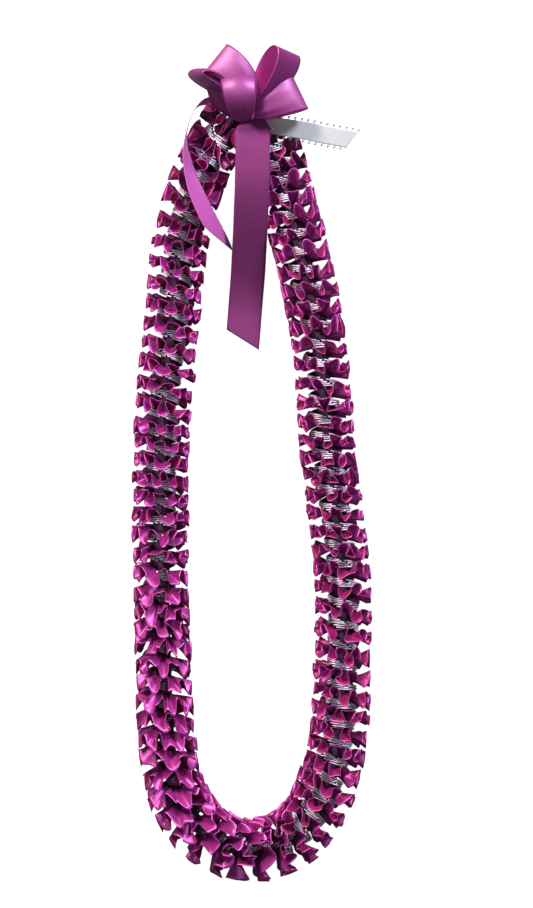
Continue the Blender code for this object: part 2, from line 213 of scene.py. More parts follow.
# The bow's loops, in mm from the knot. A loop leaves the knot at its root, end is the middle of its fold
# and width is the ribbon's width there. Its two runs part by the opening, and by more at one edge with
# flare. Widens is how late it widens from its gather at the root, sway moves its middle, and dome rounds
# its fold.
BOW_LOOPS = {
    "upper_left": {
        "end": (-22.0, 34.5, 6.0), "width": (14.0, 17.6, -2.0), "opening": 13.0, "widens": 0.35,
        "sway": (5.0, 2.5, 0.0),
    },
    "upper_right": {
        "end": (23.3, 38.0, 14.0), "width": (14.6, -5.1, -15.7), "opening": 14.0, "widens": 0.8,
    },
    "lower_right": {
        "end": (30.2, 12.1, 9.0), "width": (10.2, -21.2, 1.0), "opening": 14.0, "widens": 0.5,
        "root": (1.0, 0.5, 0.0), "sway": (-1.5, -1.0, 0.0), "gather": 0.2,
    },
    "front": {
        "end": (-3.2, 27.5, 12.0), "width": (22.8, 1.4, 0.0), "opening": 16.0, "widens": 0.36,
        "root": (-4.9, -5.0, 3.0), "gather": 0.12, "dome": 2.6,
    },
    "left": {
        "end": (-34.4, 25.2, 10.0), "width": (-9.6, 1.6, -19.7), "opening": 7.5, "widens": 0.6,
        "sway": (0.0, 4.0, 0.0), "flare": 0.4,
    },
    "back_left": {
        "end": (-28.2, 16.5, 5.0), "width": (5.6, -20.6, -5.4), "opening": 7.0, "widens": 0.35,
    },
}

# What the loops share: how far they are gathered at the root, half the gap there, their crown for their
# width, the depth and rate of the small folds at the root, and how high a teardrop's formula peaks.
LOOP_GATHER = 0.34
LOOP_ROOT = 1.3 * MM
LOOP_CROWN = 0.06
LOOP_FOLD = 0.7 * MM
LOOP_FOLD_RATE = 2.5
TEARDROP_PEAK = 0.77
LOOP_STEPS = 96
LOOP_ACROSS = 17

# The free ends. A row is the middle of the ribbon and half its width, in mm.
LONG_TAIL = [
    ((2.4, 220.0, 27.6), (5.6, 0.0, 0.0)),
    ((2.2, 216.0, 30.2), (8.2, 0.0, 0.4)),
    ((1.9, 211.5, 32.2), (10.8, 0.0, 0.2)),
    ((1.7, 205.0, 34.0), (11.0, 0.2, 0.0)),
    ((1.7, 190.0, 35.6), (11.0, 0.2, 0.0)),
    ((1.4, 176.0, 34.4), (11.0, 0.3, 0.0)),
    ((0.8, 162.0, 29.6), (11.0, 0.3, 0.0)),
    ((0.2, 148.0, 22.6), (11.0, 0.4, 0.0)),
    ((-0.6, 134.0, 14.4), (11.0, 0.5, 0.0)),
    ((-1.4, 120.0, 7.0), (11.0, 0.6, 0.0)),
    ((-2.4, 108.0, 2.2), (11.0, 0.8, 0.0)),
    ((-3.2, 98.0, 0.2), (11.0, 0.9, 0.0)),
    ((-4.1, 86.0, 0.2), (11.0, 1.0, 0.0)),
    ((-5.3, 71.4, 0.2), (11.0, 1.1, 0.0)),
]
CURLED_TAIL = [
    ((-5.2, 223.2, 27.1), (0.2, 2.8, 0.0)),
    ((-13.0, 226.0, 27.1), (0.4, 3.0, 0.0)),
    ((-22.5, 229.6, 27.0), (1.2, 2.8, 0.2)),
    ((-30.6, 228.4, 27.2), (1.6, 2.0, 4.0)),
    ((-36.8, 220.0, 29.6), (0.6, 0.6, 10.2)),
    ((-40.0, 209.0, 33.5), (0.0, 0.0, 11.0)),
    ((-40.4, 197.0, 38.6), (-1.6, -0.4, 10.8)),
    ((-38.0, 184.5, 43.2), (-3.2, -1.2, 10.4)),
    ((-34.0, 172.0, 43.2), (-4.2, -1.9, 9.9)),
    ((-28.0, 158.6, 38.2), (-4.6, -2.4, 9.6)),
    ((-21.2, 145.4, 27.4), (-4.6, -3.0, 9.4)),
    ((-14.6, 131.8, 11.4), (-4.2, -3.2, 9.6)),
]
SILVER_TAIL = [
    ((5.6, 216.4, 27.4), (0.5, 2.6, 0.0)),
    ((13.0, 214.4, 27.6), (0.8, 4.8, 0.0)),
    ((24.0, 212.4, 28.2), (0.9, 5.5, 0.0)),
    ((36.0, 210.4, 28.6), (1.0, 5.6, 0.0)),
    ((48.0, 208.0, 27.8), (1.1, 5.6, 0.0)),
    ((58.0, 206.3, 26.0), (1.2, 5.6, 0.0)),
    ((67.4, 204.6, 23.6), (1.2, 5.5, 0.0)),
]

# A free end's rows, the shares of them where its two edges are cut, its finish, its slot and how it is held.
FREE_ENDS = {
    "long": (LONG_TAIL, (0.905, 1.0), "free_end_satin", "magenta_satin", "laid"),
    "curled": (CURLED_TAIL, (1.0, 0.78), "curled_end_satin", "magenta_satin", "hung"),
    "silver": (SILVER_TAIL, (0.915, 1.0), "silver_end_satin", "silver_satin", "hung"),
}
TAIL_SAMPLES = 400
TAIL_STEPS = 120
TAIL_ACROSS = 13

# How far a free end's middle is crowned at the knot, and the share of its length by which that fades.
TAIL_CROWN = 0.3 * MM
TAIL_CROWN_FADES = 0.2

# The picots: flat rings of thread just outside the silver ribbon's edges. A ring's centre stands out from
# the edge, its radii are outwards and along, and its thread is thin at the edge and thicker at its tip.
PICOTS_FROM = 6 * MM
PICOT_STANDS_OUT = 0.85 * MM
PICOT_OUT = 0.95 * MM
PICOT_ALONG = 0.42 * MM
PICOT_THREAD = 0.1 * MM
PICOT_TIP_GAINS = 0.34 * MM
PICOT_STEPS = 12
PICOT_SIDES = 6
PICOT_LOOK_AHEAD = 1 * MM

# The weave of the satin, and its clouds of shade in a metre. The wave texture turns 20 radians for each
# unit of its scale, so 0.8 mm a radian makes a rib each 5 mm.
WAVE_RADIANS = 20
RIB_RADIAN = 0.8 * MM
RIB_HEIGHT = 0.1 * MM
RIB_STRENGTH = 0.12
RIB_DISTORTION = 0.6
CLOUD_RATE = 60.0

# Where a ribbon's woven rim starts and is full, as shares of its width: at the ruffle's rim, and at both
# sides of a plain ribbon. A lighter rim is partly the woven selvedge and partly a painted highlight.
RIM_FROM = 0.975
RIM_FULL = 0.99
SIDE_RIM = 0.02

# The tints of the satins' shine.
VIOLET_SHINE = "#F8D2FF"
PINK_SHINE = "#FFDCF6"
WHITE_SHINE = "#FFFFFF"

# The soft boxes: place and side in metres, power in watts, and colour.
LIGHTS = {
    "cool_key": ((1.4, 2.1, 2.1), 0.84, 172.0, "#F2ECFF"),
    "warm_key": ((-1.26, 2.24, 1.96), 0.84, 172.0, "#FFECE0"),
    "top": ((-0.1, 0.1, 3.3), 0.9, 18.0, "#FFFFFF"),
    "fill": ((-1.7, -0.3, 1.3), 1.0, 8.0, "#E8E4FF"),
}

# The backdrop's light, and the floor: half its side in metres, its glow and its grain.
BACKDROP_COLOUR = "#F4F5FA"
BACKDROP_LIGHT = 0.07
FLOOR_HALF = 3.0
FLOOR_GLOW = 1.0
FLOOR_GRAIN = 400.0

# The photograph's frame: what one of its pixels spans on the object, and where its middle lies, in pixels
# and in metres. Then the camera: its sensor in mm, its height in metres, and where the pixels span that.
PHOTO_SIZE = (533, 908)
PIXEL = 0.635 * MM
MIDDLE_PIXELS = np.array([16.5, 9.5])
PHOTO_MIDDLE = MIDDLE_PIXELS * PIXEL - ORIGIN[:2]
SENSOR = 36.0
CAMERA_HEIGHT = 3.0
FOCUS_HEIGHT = 18 * MM


def linear(code):
    """An sRGB hex colour as linear red, green, blue and alpha."""
    parts = np.array([int(code[i:i + 2], 16) for i in (1, 3, 5)]) / 255
    parts = np.where(parts <= 0.04045, parts / 12.92, ((parts + 0.055) / 1.055) ** 2.4)
    return (*parts.tolist(), 1.0)


def length_of(name, default, words):
    """A length that the sidebar shows in the scene's units."""
    return bpy.props.FloatProperty(name=name, description=words, default=default, unit="LENGTH", precision=5)


def colour_of(name, code, words):
    """A colour that the sidebar shows as a swatch."""
    return bpy.props.FloatVectorProperty(
        name=name, description=words, default=linear(code), size=4, subtype="COLOR", min=0.0, max=1.0
    )


class LeiSizes(bpy.types.PropertyGroup):
    """The ribbons' sizes and the ruffle's form."""

    satin_width: length_of("Satin width", 22 * MM, "Width of the magenta ribbon")
    silver_width: length_of("Silver width", 11 * MM, "Width of the silver ribbon")
    cloth: length_of("Cloth", 0.22 * MM, "Thickness of the ribbons")
    strand_radius: length_of("Strand radius", 18.6 * MM, "From the strand's middle to the ruffle's rim")
    gather_radius: length_of("Gather radius", 4.4 * MM, "From the strand's middle to the gathered edge")
    curl: length_of("Curl", 2.0 * MM, "How far a frill bulges round the strand at its rim")
    pleat_radius: length_of("Pleat radius", 9.6 * MM, "From the strand's middle to the silver folds")
    picot_step: length_of("Picot step", 4.1 * MM, "Between two picots on the silver ribbon's edge")


class LeiColours(bpy.types.PropertyGroup):
    """The colours of the dyed satins, several with painted light or shade in them, and of the floor."""

    face: colour_of("Satin face", "#922A7A", "The face of the ruffle's magenta satin")
    back: colour_of("Satin back", "#8C1E5E", "The dull back of the ruffle's satin")
    # Painted shade: a darker copy of the face, for the bow's shadow on the ruffle's ends and for the shaded
    # back loop.
    painted_shadow: colour_of("Dark satin", "#4A123C", "The ruffle's first and last piece, and the loop at the back")
    # Painted shade: the dark colour at the gathered root and at the pleats' foot, where the hollows lie in
    # shade.
    painted_root_shade: colour_of("Satin root", "#3A0A2C", "The gathered root of the ruffle, and the foot of the pleats")
    # The selvedge is a little lighter than the face: partly the woven edge, partly a painted highlight on the
    # rims.
    edge: colour_of("Selvedge", "#A03A88", "The woven edge of the magenta satin")
    bow: colour_of("Bow face", "#6E1E5E", "The face of the bow's satin")
    # Painted light: the bow's back is far paler than its face, for light inside the loops and on the knot.
    inside: colour_of("Bow back", "#E85CC4", "The back of the bow's satin, inside its loops")
    # Painted shade: the long end is a duller, more violet copy of the bow's satin, for the shade it lies in.
    painted_shade_long_end: colour_of("Long end", "#642A58", "The bow's long free end")
    # Painted light: the curled end is a paler copy of the bow's satin, for the light that it catches.
    painted_light_curl: colour_of("Curled end", "#C25CB0", "The bow's curled free end")
    # Painted light and shade on the pleats: their tops are a painted highlight, their depths painted shade.
    silver: colour_of("Silver fold", "#DEDCE8", "The silver satin at the tops of its pleats")
    painted_pleat_shade: colour_of("Silver depth", "#8A8292", "The silver satin halfway down its pleats")
    silver_end: colour_of("Silver end", "#9EA4A2", "The silver satin's free end")
    thread: colour_of("Picot thread", "#6E6C76", "The thread of the silver satin's picots")
    floor: colour_of("Floor", "#FFFFFF", "The floor that the lei lies on, as it shows")
    floor_board: colour_of("Floor board", "#6E6E6C", "What the floor reflects beside its own glow")


# Numbers and curves


def unit(vectors):
    """Vectors scaled to length 1, along the last axis."""
    return vectors / np.linalg.norm(vectors, axis=-1, keepdims=True)


def spline(points, count):
    """Points read evenly from a natural cubic spline through the given ones, by chord length."""
    points = np.asarray(points, dtype=float)
    chord = np.linalg.norm(np.diff(points, axis=0), axis=1)
    knots = np.concatenate([[0.0], np.cumsum(chord)])
    size = len(points)
    matrix = np.eye(size)
    slope = np.diff(points, axis=0) / chord[:, None]
    inner = np.arange(1, size - 1)
    matrix[inner, inner - 1] = chord[:-1]
    matrix[inner, inner] = 2 * (chord[:-1] + chord[1:])
    matrix[inner, inner + 1] = chord[1:]
    right = np.zeros_like(points)
    right[inner] = 6 * np.diff(slope, axis=0)
    bend = np.linalg.solve(matrix, right)
    at = np.linspace(0.0, knots[-1], count)
    low = np.clip(np.searchsorted(knots, at, side="right") - 1, 0, size - 2)
    step = chord[low][:, None]
    ahead = (knots[low + 1] - at)[:, None]
    back = (at - knots[low])[:, None]
    curved = (bend[low] * ahead**3 + bend[low + 1] * back**3) / (6 * step)
    start = (points[low] / step - bend[low] * step / 6) * ahead
    end = (points[low + 1] / step - bend[low + 1] * step / 6) * back
    return curved + start + end


def noise(at, seed):
    """Smooth noise from -1 to 1: random values at whole numbers, eased from one to the next."""
    values = np.random.default_rng(seed).uniform(-1.0, 1.0, int(np.max(at)) + 3)
    low = np.floor(at).astype(int)
    part = at - low
    part = part * part * (3 - 2 * part)
    return values[low] * (1 - part) + values[low + 1] * part


def wander(feature, places):
    """What a feature gains or loses at places that are counted in frills or pleats."""
    amount, rate, seed = WANDER[feature]
    return amount * noise(places * rate, seed)


def read_along(line, far, at):
    """Points of a line read at places of any shape, where far is how far along each of its points is."""
    return np.stack([np.interp(at, far, axis) for axis in line.T], axis=-1)


def distances(points):
    """How far along its line each point is, from the first. The points run along the first axis."""
    steps = np.linalg.norm(np.diff(points, axis=0), axis=-1)
    return np.concatenate([np.zeros_like(steps[:1]), np.cumsum(steps, axis=0)])


class Strand:
    """The strand's centreline by arc length, as in the solids, with the axes of its cross-section."""

    def __init__(self):
        flat = spline(CENTRELINE, STRAND_POINTS) * MM
        height = np.full(len(flat), STRAND_HEIGHT)
        self.points = np.column_stack([flat, height]) - ORIGIN
        self.along = distances(self.points)
        self.length = self.along[-1]
        from_end = np.minimum(self.along, self.length - self.along)
        self.points[:, 2] += (END_HEIGHT - STRAND_HEIGHT) * np.exp(-((from_end / END_LIFT_OVER) ** 2))

    def at(self, distance):
        """Centre, tangent, level normal and upward normal at distances, each with a last axis of 3."""
        distance = np.clip(distance, TANGENT_STEP, self.length - TANGENT_STEP)
        steps = (0.0, TANGENT_STEP, -TANGENT_STEP)
        centre, ahead, back = (read_along(self.points, self.along, distance + step) for step in steps)
        tangent = unit(ahead - back)
        side = unit(np.cross([0.0, 0.0, 1.0], tangent))
        return centre, tangent, side, np.cross(tangent, side)

    def fuller(self, distance):
        """What the ruffle's radius gains round the foot of the loop: a bell curve over distance."""
        return FULLER_AT_FOOT * np.exp(-(((distance - self.length / 2) / FOOT_SPREAD) ** 2))


STRAND = Strand()


def root_at(turns):
    """How far along the strand the ruffle's gathered edge is at turns, read between the rows of ROOTS."""
    return np.interp(turns, *zip(*ROOTS)) * MM


def pressed_top(y):
    """The greatest height that the strand may have: free, then down a straight ramp to low under the bow."""
    share = np.clip((y + ORIGIN[1] - PRESSED_FROM_Y + PRESSED_OVER) / PRESSED_OVER, 0.0, 1.0)
    return FREE_TOP + (PRESSED_TOP - FREE_TOP) * share


def reach(start, outward, wanted, least):
    """How far each ray may go: short of the floor, of the bow above and of the strand's other end."""
    far = np.broadcast_to(wanted, start.shape[:-1])
    fall = np.maximum(-outward[..., 2], LEAST_SLOPE)
    far = np.minimum(far, (start[..., 2] - CLEARANCE) / fall)
    rise = np.maximum(outward[..., 2], LEAST_SLOPE)
    far = np.minimum(far, (pressed_top(start[..., 1]) - start[..., 2]) / rise)
    from_parting = start[..., 0] + ORIGIN[0] - PARTING_X
    towards = np.maximum(-outward[..., 0] * np.sign(from_parting), LEAST_SLOPE)
    paired = start[..., 1] + ORIGIN[1] > PARTING_FROM_Y
    room = np.where(paired, (np.abs(from_parting) - CLEARANCE) / towards, np.inf)
    return np.maximum(np.minimum(far, room), np.minimum(wanted, least))


# Meshes


def surface(name, points, along, across, wrap=False):
    """A grid of points as a mesh of quads. Its UV map holds metres along and across the ribbon."""
    rows, columns = points.shape[:2]
    index = np.arange(rows * columns).reshape(rows, columns)
    if wrap:
        index = np.concatenate([index, index[:, :1]], axis=1)
    corners = np.stack([index[:-1, :-1], index[1:, :-1], index[1:, 1:], index[:-1, 1:]], axis=-1)
    faces = corners.reshape(-1, 4)
    mesh = bpy.data.meshes.new(name)
    mesh.vertices.add(rows * columns)
    mesh.vertices.foreach_set("co", points.reshape(-1).astype(np.float32))
    mesh.loops.add(faces.size)
    mesh.loops.foreach_set("vertex_index", faces.reshape(-1).astype(np.int32))
    mesh.polygons.add(len(faces))
    mesh.polygons.foreach_set("loop_start", np.arange(0, faces.size, 4, dtype=np.int32))
    mesh.update(calc_edges=True)
    places = np.stack([np.broadcast_to(part, (rows, columns)) for part in (along, across)], axis=-1)
    places = places.reshape(-1, 2)[faces.reshape(-1)]
    mesh.uv_layers.new(name="ribbon").data.foreach_set("uv", places.reshape(-1).astype(np.float32))
    mesh.shade_smooth()
    return mesh


def close_mesh(mesh):
    """Merges points that meet, as where a tube narrows to nothing, and turns the faces outwards."""
    shape = bmesh.new()
    shape.from_mesh(mesh)
    bmesh.ops.remove_doubles(shape, verts=shape.verts, dist=MERGE_WITHIN)
    bmesh.ops.recalc_face_normals(shape, faces=shape.faces)
    shape.to_mesh(mesh)
    shape.free()
    mesh.shade_smooth()


def place_object(name, data):
    """A new object in the scene, at the origin."""
    made = bpy.data.objects.new(name, data)
    bpy.context.scene.collection.objects.link(made)
    return made


def piece(mesh, looks, nodes=(), wall=0.0):
    """A mesh as a piece of the lei: its finishes, its wall, its body and the solids that it replaces.

    Where it has two finishes, the second is on the wall's other side.
    """
    made = place_object(mesh.name, mesh)
    for look in looks:
        mesh.materials.append(look)
    if wall:
        solid = made.modifiers.new("wall", "SOLIDIFY")
        solid.thickness = wall
        solid.offset = 0.0
        solid.use_even_offset = False
        solid.material_offset = len(looks) - 1
    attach(made, "root")
    if nodes:
        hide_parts(*nodes)
    return made


# Finishes


def fill(tree, node, inputs):
    """Gives a node's inputs their values, or links them where they are given a socket."""
    for name, value in inputs.items():
        if isinstance(value, bpy.types.NodeSocket):
            tree.links.new(value, node.inputs[name])
        else:
            node.inputs[name].default_value = value


def add_node(tree, kind, inputs=None, **settings):
    """Adds a node with its settings, values and links."""
    node = tree.nodes.new(kind)
    for name, value in settings.items():
        setattr(node, name, value)
    fill(tree, node, inputs or {})
    return node


def new_finish(name):
    """A material with its tree and its Principled shader."""
    finish = bpy.data.materials.new(name)
    finish.use_nodes = True
    tree = finish.node_tree
    return finish, tree, tree.nodes["Principled BSDF"]


def gathered(root, face, rim, root_to=0.12, face_from=0.35):
    """Colour stops across a gathered ribbon: painted shade at its root, then its face, then its woven rim,
    partly painted highlight.
    """
    return [(0.0, root), (root_to, root), (face_from, face), (RIM_FROM, face), (RIM_FULL, rim)]


def plain(face, rim):
    """Colour stops across a plain ribbon, with a woven rim, partly painted highlight, on both sides."""
    return [(0.0, rim), (SIDE_RIM, face), (1 - SIDE_RIM, face), (1.0, rim)]


def satin(name, stops, width, roughness, gloss, metal, sheen, tint, shift, by_depth=False):
    """Woven polyester satin: long warp floats give a soft, stretched shine along the ribbon.

    The colour runs through the stops, across the ribbon or up a pleat, and its shade shifts in slow clouds.
    The weave is a rib across the ribbon, drawn each 5 mm because the real 0.1 mm can't show.
    """
    _, tree, shader = new_finish(name)
    place = add_node(tree, "ShaderNodeUVMap", uv_map="ribbon").outputs["UV"]
    if by_depth:
        level = add_node(tree, "ShaderNodeAttribute", attribute_name="depth").outputs["Fac"]
    else:
        across = add_node(tree, "ShaderNodeSeparateXYZ", {"Vector": place}).outputs["Y"]
        level = add_node(tree, "ShaderNodeMath", {0: across, 1: width}, operation="DIVIDE").outputs[0]
    ramp = add_node(tree, "ShaderNodeValToRGB", {"Fac": level})
    elements = ramp.color_ramp.elements
    while len(elements) < len(stops):
        elements.new(0.5)
    for element, (share, colour) in zip(elements, stops):
        element.position = share
        element.color = colour
    points = add_node(tree, "ShaderNodeTexCoord").outputs["Object"]
    clouds = add_node(tree, "ShaderNodeTexNoise", {"Vector": points, "Scale": CLOUD_RATE, "Detail": 2.0})
    shade = add_node(tree, "ShaderNodeMapRange", {
        "Value": clouds.outputs["Fac"],
        "To Min": 1 - shift,
        "To Max": 1 + shift,
    })
    mottled = add_node(tree, "ShaderNodeHueSaturation", {
        "Color": ramp.outputs["Color"],
        "Value": shade.outputs[0],
    })
    ribs = add_node(tree, "ShaderNodeTexWave", {
        "Vector": place,
        "Scale": 1 / (WAVE_RADIANS * RIB_RADIAN),
        "Distortion": RIB_DISTORTION,
    }, bands_direction="X", wave_profile="SIN")
    bump = add_node(tree, "ShaderNodeBump", {
        "Height": ribs.outputs["Fac"],
        "Strength": RIB_STRENGTH,
        "Distance": RIB_HEIGHT,
    })
    warp = add_node(tree, "ShaderNodeTangent", direction_type="UV_MAP", uv_map="ribbon")
    fill(tree, shader, {
        "Base Color": mottled.outputs[0],
        "Normal": bump.outputs[0],
        "Tangent": warp.outputs[0],
        "Roughness": roughness,
        "Anisotropic": 0.55,
        "IOR": 1.6,
        "Specular IOR Level": gloss,
        "Specular Tint": linear(tint),
        "Metallic": metal,
        "Sheen Weight": sheen,
        "Sheen Roughness": 0.35,
        "Sheen Tint": linear(tint),
    })


def ruffle_satins(colours, width):
    """The ruffle's satin: its bright face, its dull back, and the bow's painted shadow on its first and last
    piece.
    """
    painted_root_shade, edge = colours.painted_root_shade[:], colours.edge[:]
    # Each has painted shade at its gathered root.
    satin(
        "ruffle_satin_face", gathered(painted_root_shade, colours.face[:], edge), width,
        roughness=0.42, gloss=1.0, metal=0.48, sheen=0.02, tint=VIOLET_SHINE, shift=0.18,
    )
    satin(
        "ruffle_satin_back", gathered(painted_root_shade, colours.back[:], edge), width,
        roughness=0.42, gloss=0.6, metal=0.35, sheen=0.02, tint=VIOLET_SHINE, shift=0.15,
    )
    # Painted shadow: the bow's shadow on the first and last piece, as a darker face.
    satin(
        "shaded_satin",
        gathered(painted_root_shade, colours.painted_shadow[:], colours.face[:], root_to=0.2, face_from=0.6),
        width, roughness=0.4, gloss=0.4, metal=0.35, sheen=0.02, tint=PINK_SHINE, shift=0.15,
    )


def bow_satins(colours, width):
    """The bow's satin: a glossy face, a darker painted-shade one for the loop at the back, and a
    painted-light pink back.
    """
    edge = colours.edge[:]
    satin(
        "bow_satin_face", plain(colours.bow[:], edge), width,
        roughness=0.48, gloss=1.0, metal=0.2, sheen=0.02, tint=VIOLET_SHINE, shift=0.08,
    )
    # Painted shade: the loop at the back, shaded by the others, as a darker face.
    satin(
        "bow_satin_shade", plain(colours.painted_shadow[:], colours.face[:]), width,
        roughness=0.45, gloss=0.4, metal=0.25, sheen=0.02, tint=PINK_SHINE, shift=0.1,
    )
    # Painted light: the back's bright pink stands in for light inside the loops.
    satin(
        "bow_satin_back", plain(colours.inside[:], edge), width,
        roughness=0.4, gloss=0.4, metal=0.3, sheen=0.02, tint=PINK_SHINE, shift=0.08,
    )


def free_end_satins(colours, width):
    """The same ribbon in its free ends: matt, with painted shade, where it lies flat; soft, with pale painted
    light, where it curls.
    """
    edge = colours.edge[:]
    # Painted shade: the long end's duller colour.
    satin(
        "free_end_satin", plain(colours.painted_shade_long_end[:], edge), width,
        roughness=0.55, gloss=0.1, metal=0.25, sheen=0.1, tint=PINK_SHINE, shift=0.1,
    )
    # Painted light: the curled end's pale colour.
    satin(
        "curled_end_satin", plain(colours.painted_light_curl[:], edge), width,
        roughness=0.45, gloss=0.5, metal=0.25, sheen=0.35, tint=PINK_SHINE, shift=0.1,
    )


def silver_satins(colours, width):
    """The silver ribbon: matt free end, picots' thread, and pleats with painted highlight tops and painted
    shade inwards.
    """
    painted_root_shade, shade, fold = colours.painted_root_shade[:], colours.painted_pleat_shade[:], colours.silver[:]
    satin(
        "silver_end_satin", plain(colours.silver_end[:], colours.silver_end[:]), width,
        roughness=0.7, gloss=0.08, metal=0.0, sheen=0.0, tint=WHITE_SHINE, shift=0.04,
    )
    satin(
        "silver_thread", plain(colours.thread[:], colours.thread[:]), width,
        roughness=0.9, gloss=0.05, metal=0.0, sheen=0.0, tint=WHITE_SHINE, shift=0.04,
    )
    # Painted light and shade by depth: dark at the pleats' foot, lighter halfway, a painted highlight on the
    # tops.
    satin(
        "silver_pleat_satin", [(0.0, painted_root_shade), (0.35, painted_root_shade), (0.5, shade), (0.7, fold)], width,
        roughness=0.5, gloss=0.5, metal=0.25, sheen=0.0, tint=WHITE_SHINE, shift=0.25, by_depth=True,
    )


def finishes():
    """The lei's finishes by name, made once."""
    if "ruffle_satin_face" not in bpy.data.materials:
        sizes, colours = bpy.context.scene.lei_sizes, bpy.context.scene.lei_colours
        ruffle_satins(colours, sizes.satin_width)
        bow_satins(colours, sizes.satin_width)
        free_end_satins(colours, sizes.satin_width)
        silver_satins(colours, sizes.silver_width)
    return {made.name: made for made in bpy.data.materials}


# Ruffle


def fold_wave(angle):
    """A wave from -1 to 1: a sine, with a small share of a zigzag."""
    zigzag = np.arcsin(FOLD_CORNER * np.sin(angle)) / np.arcsin(FOLD_CORNER)
    return FOLD_CRISPNESS * zigzag + (1 - FOLD_CRISPNESS) * np.sin(angle)


def ruffle_grid(sizes):
    """The whole ruffle as one grid, and the turns of its rows.

    A point is turns t along the strand and a share v from the gathered edge to the rim. It stands at the
    angle of the left-handed helix, at a radius that grows with v. Along the strand it swings with the wave
    of the frills, leans, and has the finer waves of creases and flutters. Round the strand it moves with
    the pinch and the tilt at the frills' rate, and with the curl at twice that. All of it grows with v, so
    that the rim meanders in frills.
    """
    t = np.linspace(0.0, TURNS, RUFFLE_PIECES * PIECE_SAMPLES + 1)
    v = np.linspace(0.0, 1.0, RUFFLE_ROWS)[None, :]
    table = np.array(FRILLS)
    rate, swing, lean, pinch, crease, skew = (np.interp(t, table[:, 0], column) for column in table.T[1:])
    waves = np.cumsum(np.concatenate([[0.0], np.diff(t)]) * rate)
    waves = waves + FIRST_FRILL + wander("frill_place", waves)
    angle = 2 * np.pi * waves
    lean = lean * MM + wander("lean", waves) + skew * MM * np.cos(2 * np.pi * t)
    rim = sizes.strand_radius + STRAND.fuller(root_at(t)) + wander("rim", waves) - RIM_SHORT
    rim = rim - RIM_DIP * np.sin(angle) ** 2
    swing = swing / 2 * MM * (1 + wander("swing", waves) + wander("slow_swing", waves)) * fold_wave(angle)
    crease = crease * MM * (1 + wander("crease", waves))
    crease = crease * np.sin(CREASE_RATE * angle + wander("crease_place", waves))
    flutter = FLUTTER_DEPTH * lean * np.sin(FLUTTER_RATE * angle + wander("flutter_place", waves))
    axial = swing[:, None] * v**SWING_GROWTH + lean[:, None] * v**LEAN_GROWTH
    axial = axial + crease[:, None] * np.sqrt(v) + flutter[:, None] * v
    pinch = -(pinch + wander("pinch", waves)) * rim / rate * np.cos(angle)
    leaning = np.clip(lean / FULL_LEAN, 0.0, 1.0)
    curl = -sizes.curl * (1 - LEAN_UNCURLS * leaning) * (1 + wander("curl", waves)) * np.sin(2 * angle)
    tilt = wander("tilt", waves) * np.sin(angle)
    sideways = ((pinch + curl + tilt) / rim)[:, None] * v**SWING_GROWTH
    theta = HELIX_HAND * (2 * np.pi * t[:, None] + sideways)
    centre, tangent, side, up = (part[:, None, :] for part in STRAND.at(root_at(t)))
    outward = np.cos(theta)[..., None] * side + np.sin(theta)[..., None] * up
    start = centre + axial[..., None] * tangent
    far = reach(start, outward, rim[:, None], sizes.gather_radius + LEAST_FRILL)
    radius = sizes.gather_radius + (far - sizes.gather_radius) * (1 - (1 - v) ** REACH_GROWTH)
    return t, start + radius[..., None] * outward


class LEI_OT_ruffle(bpy.types.Operator):
    """Gathers the magenta satin into the ruffle, a helix of frills round the strand"""

    bl_idname = "lei.ruffle"
    bl_label = "Gathered ruffle"

    def execute(self, context):
        sizes = context.scene.lei_sizes
        finish = finishes()
        t, points = ruffle_grid(sizes)
        across = np.linspace(0.0, sizes.satin_width, RUFFLE_ROWS)[None, :]
        for number in range(RUFFLE_PIECES):
            rows = slice(number * PIECE_SAMPLES, (number + 1) * PIECE_SAMPLES + 1)
            along = t[rows, None] * RIBBON_PER_TURN
            mesh = surface(f"ruffle_ribbon_{number + 1:02d}", points[rows], along, across)
            # The first and last piece lie under the bow, and take its painted shadow on their face.
            painted_bow_shadow = number in (0, RUFFLE_PIECES - 1)
            face = finish["shaded_satin" if painted_bow_shadow else "ruffle_satin_face"]
            # The grid's own side looks on along the strand, and is the ribbon's dull back.
            looks = [finish["ruffle_satin_back"], face]
            made = piece(mesh, looks, [f"ruffle_{number + 1:02d}"], sizes.cloth)
        return {"FINISHED"}


class LEI_OT_gathered_edge(bpy.types.Operator):
    """Packs the ruffle's gathered edge into a pleated rope in the middle of the strand"""

    bl_idname = "lei.gathered_edge"
    bl_label = "Gathered edge"

    def execute(self, context):
        gather_radius = context.scene.lei_sizes.gather_radius
        t = np.linspace(EDGE_INSET, TURNS - EDGE_INSET, TURNS * EDGE_RINGS + 1)[:, None]
        place = t / TURNS * STRAND.length
        angle = np.linspace(0.0, 2 * np.pi, EDGE_SIDES, endpoint=False)[None, :]
        # Two twisted sines ripple the rope's radius, and a square root narrows it to nothing at its ends.
        sets = (high * np.sin(count * angle + 2 * np.pi * t * twist) for high, count, twist in EDGE_FOLDS)
        radius = gather_radius + EDGE_STANDS_OUT + EDGE_FOLD * sum(sets)
        taper = np.sqrt(np.clip(np.minimum(t - t[0], t[-1] - t) / EDGE_TAPER, 0.0, 1.0))
        centre, _, side, up = STRAND.at(place)
        outward = np.cos(angle)[..., None] * side + np.sin(angle)[..., None] * up
        points = centre + (radius * taper)[..., None] * outward
        # The rope's place across the ribbon is 0, its root, so all of it takes the root's painted shade.
        mesh = surface("gathered_edge", points, place, 0.0, wrap=True)
        close_mesh(mesh)
        piece(mesh, [finishes()["ruffle_satin_face"]])
        return {"FINISHED"}


# Silver pleats


